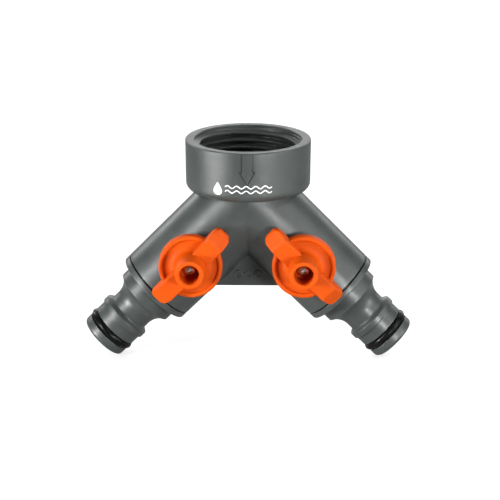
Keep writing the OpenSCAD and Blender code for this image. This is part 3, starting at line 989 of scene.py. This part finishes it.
def wave(number):
    """Stroke whose middle line is a sine, with blunt ends."""
    x = np.linspace(*WAVE_X, 121)
    phase = TURN * (x - WAVE_X[0]) / WAVE_LENGTH
    z = PRINT_Z + WAVE_GAP * (0.5 - number) + WAVE_RISE * np.sin(phase)
    slope = WAVE_RISE * TURN / WAVE_LENGTH * np.cos(phase)
    square = np.stack([-slope, np.ones_like(x)], axis=-1) / np.hypot(slope, 1)[:, None]
    middle = np.stack([x, z], axis=-1)
    half = square * WAVE_STROKE
    return ink_film(f"wave_{number}", middle + half, middle - half)


def drop():
    """Drop: height is a cosine and half width a sine, and the width is drawn in
    towards the point by a power of the sine of half the angle. Both ends stop a
    little short of the poles, where the width would be nothing."""
    angle = np.linspace(0.02, math.pi - 0.02, 61)
    half = DROP_R * np.sin(angle) * np.sin(angle / 2) ** 1.5
    z = PRINT_Z + DROP_R * np.cos(angle)
    edges = [np.stack([DROP_X + way * half, z], axis=-1) for way in (-1, 1)]
    return ink_film("drop", *edges)


prints = [drop(), wave(0), wave(1)]
ink = combine(prints[0], joined=prints[1:])
ink.name = "collar_print"
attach(ink, "manifold")
finish_mesh(ink)

# %% [markdown]
# ## Finishes
# Small effects that several finishes share are node groups, built once: a fine
# grain, a slow drift of tone, and the light scuffs of handling. Each puts out
# only a value, and each finish feeds it where it wants it. All of them read
# Object coordinates, so a pattern stays with its piece.

# %% Shared effects
def new_group(name, inputs, outputs):
    """Empty shader group with number inputs (name, value) and number outputs."""
    group = bpy.data.node_groups.new(name, "ShaderNodeTree")
    for label, value in inputs:
        socket = group.interface.new_socket(label, in_out="INPUT", socket_type="NodeSocketFloat")
        socket.default_value = value
    for label in outputs:
        group.interface.new_socket(label, in_out="OUTPUT", socket_type="NodeSocketFloat")
    return group, group.nodes.new("NodeGroupInput"), group.nodes.new("NodeGroupOutput")


def add(tree, kind, links=(), **settings):
    """New node with its settings, its linked inputs and its plain input values."""
    node = tree.nodes.new(kind)
    for key, value in settings.items():
        if key.startswith("in_"):
            node.inputs[int(key[3:])].default_value = value
        else:
            setattr(node, key, value)
    for number, source in dict(links).items():
        tree.links.new(source, node.inputs[number])
    return node


def maths(tree, operation, first, second):
    """Sum or product of two values, as the operation says."""
    return add(tree, "ShaderNodeMath", {0: first, 1: second}, operation=operation).outputs[0]


def noise(tree, where, scale, detail):
    """Noise at a linked place and scale, with a number of finer layers."""
    return add(tree, "ShaderNodeTexNoise", {0: where, 2: scale}, in_3=detail).outputs[0]


def object_place(tree):
    """The piece's own coordinates."""
    return add(tree, "ShaderNodeTexCoord").outputs["Object"]


def spark_group():
    """Spark-eroded texture: two sizes of noise, mixed to a pebbled height."""
    group, given, out = new_group("Spark texture", [("Scale", 2500), ("Amount", 1)], ["Height"])
    where = object_place(group)
    finer = add(group, "ShaderNodeMath", {0: given.outputs["Scale"]}, operation="MULTIPLY",
                in_1=2.6)
    coarse = noise(group, where, given.outputs["Scale"], 2)
    fine = noise(group, where, finer.outputs[0], 1)
    height = maths(group, "MULTIPLY", maths(group, "ADD", coarse, fine),
                   given.outputs["Amount"])
    group.links.new(height, out.inputs["Height"])
    return group


def drift_group():
    """Slow drift: a wide soft noise between two given values."""
    group, given, out = new_group("Slow drift", [("Scale", 150), ("From", 0), ("To", 1)],
                                  ["Value"])
    cloud = noise(group, object_place(group), given.outputs["Scale"], 3)
    spread = add(group, "ShaderNodeMapRange", {0: cloud, 3: given.outputs["From"],
                                               4: given.outputs["To"]}, in_1=0.3, in_2=0.7)
    group.links.new(spread.outputs[0], out.inputs["Value"])
    return group


def scuff_group():
    """Handling scuffs: thin lines of a stretched noise, kept only where a second,
    wider noise is high."""
    group, given, out = new_group("Scuffs", [("Scale", 900), ("Amount", 0.1)], ["Value"])
    where = object_place(group)
    stretch = add(group, "ShaderNodeMapping", {0: where})
    stretch.inputs["Rotation"].default_value = (0.5, 0.9, 0.3)
    stretch.inputs["Scale"].default_value = (0.06, 1, 0.35)
    lines = noise(group, stretch.outputs[0], given.outputs["Scale"], 2)
    thin = add(group, "ShaderNodeMapRange", {0: lines}, in_1=0.62, in_2=0.72)
    patch = add(group, "ShaderNodeTexNoise", {0: where}, in_2=120, in_3=1)
    some = add(group, "ShaderNodeMapRange", {0: patch.outputs[0]}, in_1=0.5, in_2=0.65)
    kept = maths(group, "MULTIPLY", thin.outputs[0], some.outputs[0])
    group.links.new(maths(group, "MULTIPLY", kept, given.outputs["Amount"]),
                    out.inputs["Value"])
    return group


SPARK, DRIFT, SCUFFS = spark_group(), drift_group(), scuff_group()
print("groups:", [group.name for group in (SPARK, DRIFT, SCUFFS)])


# %% [markdown]
# ### One finish
# Each finish is one Principled BSDF. What is the same all over is set on its own
# sockets, and the shared effects feed what changes: colour, roughness, normal.

# %% Helpers for finishes
def new_finish(name, **shader_values):
    """Material with one Principled BSDF, its plain values set on its own sockets."""
    material = bpy.data.materials.new(name)
    material.use_nodes = True
    tree = material.node_tree
    tree.nodes.clear()
    shader = tree.nodes.new("ShaderNodeBsdfPrincipled")
    surface = tree.nodes.new("ShaderNodeOutputMaterial")
    tree.links.new(shader.outputs[0], surface.inputs["Surface"])
    for label, value in shader_values.items():
        shader.inputs[label.replace("_", " ")].default_value = value
    return material, tree, shader


def effect(tree, group, **values):
    """Places a shared effect in a finish, with this finish's own values."""
    node = tree.nodes.new("ShaderNodeGroup")
    node.node_tree = group
    for label, value in values.items():
        node.inputs[label].default_value = value
    return node.outputs[0]


def tone(tree, amount, dark, light):
    """Colour between a dark and a light tone, by an amount from 0 to 1."""
    mix = tree.nodes.new("ShaderNodeMix")
    mix.data_type = "RGBA"
    mix.inputs[6].default_value = (*dark, 1)
    mix.inputs[7].default_value = (*light, 1)
    tree.links.new(amount, mix.inputs[0])
    return mix.outputs[2]


def tint(tree, shader, scale, dark, light):
    """Lets the base colour drift between two tones."""
    colour = tone(tree, effect(tree, DRIFT, Scale=scale), dark, light)
    tree.links.new(colour, shader.inputs["Base Color"])


def polish(tree, shader, scale, rough, scuffs=None):
    """Lets the roughness drift between two values, and adds scuffs, given by their
    scale and amount."""
    value = effect(tree, DRIFT, Scale=scale, From=rough[0], To=rough[1])
    if scuffs:
        worn = effect(tree, SCUFFS, Scale=scuffs[0], Amount=scuffs[1])
        value = maths(tree, "ADD", value, worn)
    tree.links.new(value, shader.inputs["Roughness"])


def bump(tree, shader, height, distance, strength):
    """Tilts the surface by a height, whose scale is in millimetres."""
    node = add(tree, "ShaderNodeBump", in_0=strength, in_1=distance * MM)
    tree.links.new(height, node.inputs["Height"])
    tree.links.new(node.outputs[0], shader.inputs["Normal"])


def grain(tree, shader, scale, distance, strength=0.4):
    """Gives the surface the fine texture of its mould."""
    bump(tree, shader, effect(tree, SPARK, Scale=scale, Amount=1), distance, strength)


def dress(piece, material):
    """Gives the piece this one material."""
    piece.data.materials.clear()
    piece.data.materials.append(material)


# %% [markdown]
# ### Grey moulding
# The body and the plugs are the same dark grey plastic. The collar has the fine
# spark texture of its mould, and the branches are smoother, so a Map Range node
# turns the texture up above the collar's foot. Colour and roughness drift a
# little, as melt flow leaves them.

# %% Grey plastic
GREY_DARK = (0.033, 0.039, 0.037)
GREY_LIGHT = (0.044, 0.051, 0.048)


def grey_plastic(name, textured_above=None):
    """Satin grey, with a plain grain or one that is coarser above a height."""
    material, tree, shader = new_finish(name, Specular_IOR_Level=0.52)
    tint(tree, shader, 110, GREY_DARK, GREY_LIGHT)
    polish(tree, shader, 300, (0.34, 0.42), scuffs=(700, 0.12))
    if textured_above is None:
        grain(tree, shader, 2200, 0.012, 0.35)
        return material
    split = add(tree, "ShaderNodeSeparateXYZ", {0: object_place(tree)})
    on = add(tree, "ShaderNodeMapRange", {0: split.outputs[2]},
             in_1=(textured_above - 0.3) * MM, in_2=textured_above * MM, in_3=0.25, in_4=1)
    texture = effect(tree, SPARK, Scale=2200, Amount=1)
    bump(tree, shader, maths(tree, "MULTIPLY", texture, on.outputs[0]), 0.06, 0.8)
    return material


dress(body, grey_plastic("grey_plastic_body", -COLLAR_H))
for piece in plugs.values():
    dress(piece, grey_plastic("grey_plastic_plug"))

# %% [markdown]
# ### Orange moulding
# The knobs are a bright orange plastic, a little duller than the body. A trace of
# light under the surface keeps their shaded sides warm.

# %% Orange plastic
ORANGE_DARK = (0.49, 0.056, 0.0)
ORANGE_LIGHT = (0.55, 0.069, 0.001)


def orange_plastic():
    """Soft orange with a weak sheen and light scuffs."""
    material, tree, shader = new_finish("orange_plastic", Subsurface_Weight=0.08,
                                        Subsurface_Radius=(1, 0.3, 0.1), Subsurface_Scale=0.0008,
                                        Specular_IOR_Level=0.13)
    tint(tree, shader, 140, ORANGE_DARK, ORANGE_LIGHT)
    polish(tree, shader, 350, (0.5, 0.58), scuffs=(800, 0.15))
    grain(tree, shader, 2600, 0.012)
    return material


orange = orange_plastic()
for piece in knobs.values():
    dress(piece, orange)

# %% [markdown]
# ### Rubber
# The seals are black rubber, greased on assembly, so they shine softly. The same
# finish serves the small O-rings inside the valves.

# %% Rubber
def rubber():
    """Near black, with a weak but smooth shine."""
    material, tree, shader = new_finish("black_rubber", Specular_IOR_Level=0.12)
    tint(tree, shader, 200, (0.002, 0.002, 0.002), (0.005, 0.005, 0.005))
    polish(tree, shader, 500, (0.2, 0.32))
    grain(tree, shader, 3500, 0.01)
    return material


black = rubber()
for piece in seals.values():
    dress(piece, black)
for side in SIDES:
    for place in ("inner", "outer"):
        dress(frame["nodes"][f"{side}_stem_oring_{place}"], black)

# %% [markdown]
# ### Metals
# The screws are bright nickel over steel, turned and tumbled, so they keep faint
# rings about their axis. The stems are turned brass with coarser rings. The rings
# come from a wave on the distance from the valve's axis, so each side has its own
# material, centred on its own valve by a Mapping node.

# %% Screw steel and brass
def turned_metal(name, side, dark, light, rough, ring_scale, ring_depth):
    """Bright metal with fine rings about the valve's axis."""
    material, tree, shader = new_finish(name, Metallic=1.0)
    tint(tree, shader, 600, dark, light)
    polish(tree, shader, 1500, rough)
    centred = add(tree, "ShaderNodeMapping", {0: object_place(tree)})
    centred.inputs["Location"].default_value = tuple(-valve_at[side])
    rings = add(tree, "ShaderNodeTexWave", {0: centred.outputs[0]}, wave_type="RINGS",
                rings_direction="Y", in_1=ring_scale, in_2=1.5, in_3=2)
    bump(tree, shader, rings.outputs["Fac"], ring_depth, 0.5)
    return material


NICKEL = ((0.60, 0.58, 0.55), (0.78, 0.76, 0.73), (0.14, 0.26), 900, 0.006)
BRASS = ((0.50, 0.36, 0.13), (0.66, 0.49, 0.21), (0.22, 0.36), 700, 0.01)
for side, piece in screws.items():
    dress(piece, turned_metal(f"{side}_screw_steel", side, *NICKEL))
    dress(frame["nodes"][f"{side}_stem"], turned_metal(f"{side}_brass", side, *BRASS))

# %% [markdown]
# ### White plastics and ink
# The seats and thrust washers are a waxy white, the balls a polished off-white,
# and the print a flat white ink. They differ in tone, gloss and grain, so one
# function makes all three.

# %% White finishes
def white_finish(name, dark, light, rough, grain_depth):
    """Plain white with its own tones, roughness and grain."""
    material, tree, shader = new_finish(name)
    tint(tree, shader, 250, dark, light)
    polish(tree, shader, 600, rough)
    grain(tree, shader, 3000, grain_depth)
    return material


seat_white = white_finish("seat_plastic", (0.76, 0.76, 0.73), (0.84, 0.84, 0.82),
                          (0.35, 0.5), 0.01)
ball_white = white_finish("ball_plastic", (0.68, 0.68, 0.64), (0.76, 0.76, 0.72),
                          (0.12, 0.2), 0.004)
dress(ink, white_finish("print_ink", (0.78, 0.79, 0.79), (0.86, 0.87, 0.87),
                        (0.4, 0.55), 0.008))
for side in SIDES:
    for node in ("inlet_seat", "outlet_seat", "thrust_washer"):
        dress(frame["nodes"][f"{side}_{node}"], seat_white)
    dress(frame["nodes"][f"{side}_ball"], ball_white)
print("finishes:", len(bpy.data.materials))

# %% [markdown]
# ## Floor, light and camera
# The splitter stands on the tips of its plugs on a plain pale floor. The floor's
# own tone is a middle grey, so that it throws little light back up. A Light Path
# node adds a glow for camera rays only, which lifts it to near white in a view.

# %% Floor
FLOOR_GLOW = (0.68, 0.68, 0.68, 1)
FLOOR_REACH = 1600


def floor():
    """Level sheet under the lowest point, with a very slight waviness of tone."""
    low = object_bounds()[0][2] / MM
    reach = np.linspace(-FLOOR_REACH, FLOOR_REACH, 9)
    x, y = np.meshgrid(reach, reach)
    piece = mesh_of("floor", np.stack([x, y, 0 * x + low], axis=-1), join_columns=False)
    material, tree, shader = new_finish("floor_paint", Emission_Color=FLOOR_GLOW)
    tint(tree, shader, 6, (0.40, 0.40, 0.40), (0.42, 0.42, 0.42))
    polish(tree, shader, 20, (0.55, 0.6))
    ray = add(tree, "ShaderNodeLightPath")
    tree.links.new(ray.outputs["Is Camera Ray"], shader.inputs["Emission Strength"])
    dress(piece, material)
    piece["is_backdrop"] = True
    return piece


ground = floor()
print("floor height, mm:", round(ground.data.vertices[0].co.z / MM, 2))

# %% [markdown]
# Lamps and camera all look at one target near the middle of the splitter, so each
# is placed by two angles and a distance.

# %% Aim for lamps and camera
target = Vector((0.6 * MM, 0, -36.7 * MM))


def direction(azimuth, elevation):
    """Unit vector from the target: azimuth 0 is straight in front, and grows
    towards +X."""
    turn, rise = math.radians(azimuth), math.radians(elevation)
    return Vector((math.sin(turn) * math.cos(rise), -math.cos(turn) * math.cos(rise),
                   math.sin(rise)))


def aim(thing, azimuth, elevation, distance):
    """Puts a lamp or camera at a distance in metres, looking at the target."""
    way = direction(azimuth, elevation)
    thing.location = target + way * distance
    thing.rotation_euler = way.to_track_quat("Z", "Y").to_euler()


def softbox(name, azimuth, elevation, distance, size, power, spread=180):
    """Rectangular lamp that faces the splitter. A spread under 180 degrees keeps
    its light off the floor, as a honeycomb grid does."""
    lamp = bpy.data.lights.new(name, "AREA")
    lamp.shape = "RECTANGLE"
    lamp.size, lamp.size_y = size
    lamp.energy, lamp.spread = power, math.radians(spread)
    holder = bpy.data.objects.new(name, lamp)
    bpy.context.scene.collection.objects.link(holder)
    aim(holder, azimuth, elevation, distance)
    return holder


# %% [markdown]
# The lamps that draw the highlights have grids. The tall key at the left front
# makes the long lines of light on the collar and the left branch. A low one
# beside it, a small strip and a wider one at the right light the rest of the
# front, and a weak rim lamp stands behind on the left. The others are open: one
# high at the right, one above, one behind, and a backdrop lamp that faces
# straight down on the floor.

# %% Lamps and sky
softbox("key", -50, 20, 0.7, (0.08, 0.6), 0.48, 60)
softbox("low_left", -62, 1, 0.5, (0.14, 0.1), 0.36, 60)
softbox("strip", 31, 1, 0.6, (0.1, 0.12), 0.3, 60)
softbox("right", 68, 8, 0.7, (0.4, 0.3), 0.42, 60)
softbox("front_top", 62, 48, 0.8, (0.5, 0.3), 2.5)
softbox("top", 0, 80, 0.8, (0.6, 0.6), 0.4)
softbox("back", 165, 19, 1.1, (1.2, 0.3), 3.8)
softbox("rim_light", -140, 25, 0.8, (0.25, 0.25), 0.1, 40)
backdrop = softbox("backdrop", 180, 50, 1.0, (1.4, 0.4), 2.6)
backdrop.rotation_euler = (0, 0, 0)
world = bpy.data.worlds.new("studio")
bpy.context.scene.world = world
world.use_nodes = True
world.node_tree.nodes["Background"].inputs[0].default_value = (1, 1, 1, 1)
world.node_tree.nodes["Background"].inputs[1].default_value = 0.08
bpy.context.scene.view_settings.view_transform = "Standard"
print("lamps:", len(bpy.data.lights))

# %% [markdown]
# The camera looks down a little on the front, through a long lens that keeps near
# and far parts about the same size. Its lens follows from the width to take in.

# %% Camera
CAMERA_DISTANCE = 1.05
CAMERA_ANGLES = (1.0, 16.4)
MM_ACROSS = 158.75
camera = bpy.data.objects.new("camera", bpy.data.cameras.new("camera"))
bpy.context.scene.collection.objects.link(camera)
camera.data.lens = camera.data.sensor_width * CAMERA_DISTANCE / (MM_ACROSS * MM)
camera.data.clip_end = 20
aim(camera, *CAMERA_ANGLES, CAMERA_DISTANCE)
bpy.context.scene.camera = camera
print("lens, mm:", round(camera.data.lens, 1))
